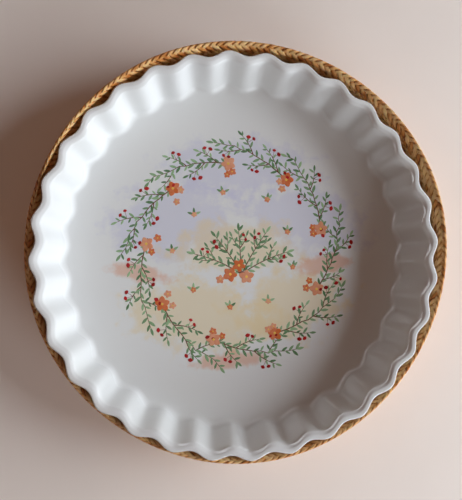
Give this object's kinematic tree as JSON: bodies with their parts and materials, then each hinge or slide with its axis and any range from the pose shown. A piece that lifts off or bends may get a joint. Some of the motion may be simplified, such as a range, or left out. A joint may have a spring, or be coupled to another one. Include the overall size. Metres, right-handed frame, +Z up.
{
  "type": "fluted tart dish in straw basket",
  "caption": "Round white porcelain tart dish with a fluted wall, set in a coiled basket of plaited straw.",
  "frame": {"origin": "centre of the basket's flat underside, on the table", "axes": "+Z up, out of the open dish; seen from above with +X to the right and +Y up the page, the plait's loose end is at the left, 168 degrees anticlockwise from +X"},
  "size_m": [0.3157, 0.315, 0.047],
  "materials": {
    "glazed_porcelain": "white, clear glossy glaze, with a printed garland in the middle of the floor",
    "plaited_straw": "natural straw plait, satin, golden"
  },
  "bodies": {
    "root": {"dish": "glazed_porcelain", "basket": "plaited_straw"}
  },
  "joints": []
}
